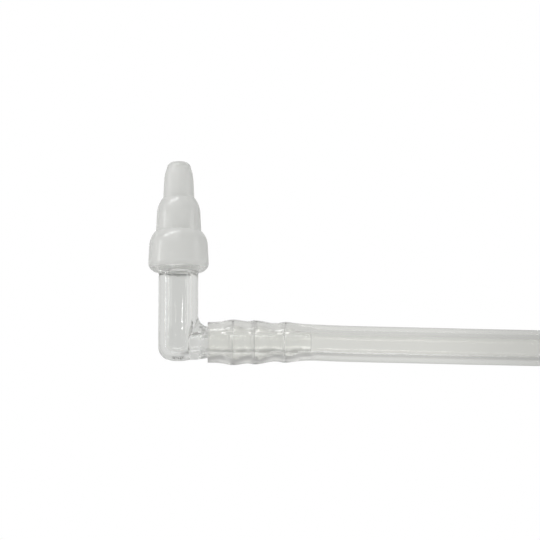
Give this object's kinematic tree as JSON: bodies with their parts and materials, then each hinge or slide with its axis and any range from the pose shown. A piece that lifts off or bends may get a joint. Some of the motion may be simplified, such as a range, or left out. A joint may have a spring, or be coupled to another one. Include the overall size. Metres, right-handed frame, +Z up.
{
  "type": "glass elbow hose adapter with stepped ground joint and tubing",
  "caption": "Right-angle borosilicate glass hose adapter with a stepped ground cone; clear flexible tubing is pushed over its barbed arm and the spare tubing lies coiled on the bench.",
  "frame": {"origin": "on the bench, straight under the point where the stem's axis crosses the side arm's axis", "axes": "+X along the side arm towards the tubing, +Y along the stem towards the small cone, +Z up from the bench; both glass axes lie 9.6 mm above the bench"},
  "size_m": [0.2623, 0.1354, 0.0244],
  "materials": {
    "ground_glass": "finely ground, matt",
    "clear_glass": "fire polished, clear",
    "clear_tubing": "clear soft PVC, satin gloss",
    "tie_strap": "woven hook-and-loop strap"
  },
  "bodies": {
    "tubing": {"hose_end": "clear_tubing", "hose_run": "clear_tubing", "hose_coil": "clear_tubing", "hose_free_end": "clear_tubing", "coil_tie_1": "tie_strap", "coil_tie_2": "tie_strap"},
    "adapter": {"small_cone": "ground_glass", "middle_cone": "ground_glass", "large_cone": "ground_glass", "stem_tube": "clear_glass", "elbow": "clear_glass", "hose_barb": "clear_glass"}
  },
  "joints": [
    {"name": "hose_swivel", "type": "hinge", "parent": "tubing", "child": "adapter", "pos_m": [0.025, 0, 0.0096], "axis": [1, 0, 0], "continuous": true}
  ]
}
